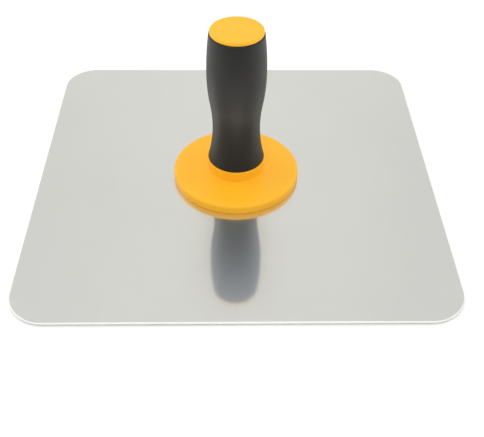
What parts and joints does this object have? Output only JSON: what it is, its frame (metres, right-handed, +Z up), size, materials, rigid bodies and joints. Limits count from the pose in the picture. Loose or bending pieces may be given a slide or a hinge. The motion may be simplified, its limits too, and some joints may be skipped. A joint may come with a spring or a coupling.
{
  "type": "plasterer's hawk",
  "caption": "Square aluminium plasterer's hawk with rounded corners, a round plastic base flange and a waisted soft-grip handle that unscrews for storage.",
  "frame": {"origin": "middle of the working face, which lies on the ground", "axes": "+Z up along the handle, away from the working face; +X and +Y along the plate's sides"},
  "size_m": [0.33, 0.33, 0.139],
  "materials": {
    "plate": "bright rolled sheet, lightly hazed",
    "zinc_steel": "zinc plated",
    "brass": "machined",
    "yellow_plastic": "satin moulded",
    "nylon": "natural",
    "soft_grip": "matte soft-touch"
  },
  "bodies": {
    "base": {"plate": "plate", "plate_screws": "zinc_steel", "screw_inserts": "brass", "base_flange": "yellow_plastic", "threaded_hub": "zinc_steel"},
    "swivel": {"seat_ring": "nylon"},
    "handle": {"handle_bolt": "zinc_steel", "bolt_washer": "zinc_steel", "bolt_nut": "zinc_steel", "handle_core": "yellow_plastic", "grip_sleeve": "soft_grip", "end_cap": "yellow_plastic"}
  },
  "joints": [
    {"name": "handle_lift", "type": "slide", "parent": "base", "child": "swivel", "axis": [0, 0, 1], "range_m": [0, 0.012]},
    {"name": "handle_turn", "type": "hinge", "parent": "swivel", "child": "handle", "pos_m": [0, 0, 0.0215], "axis": [0, 0, 1], "range_deg": [0, 2880]}
  ],
  "couplings": [
    {"joint": "handle_lift", "follows": "handle_turn", "m_per_rad": 0.00023873}
  ]
}
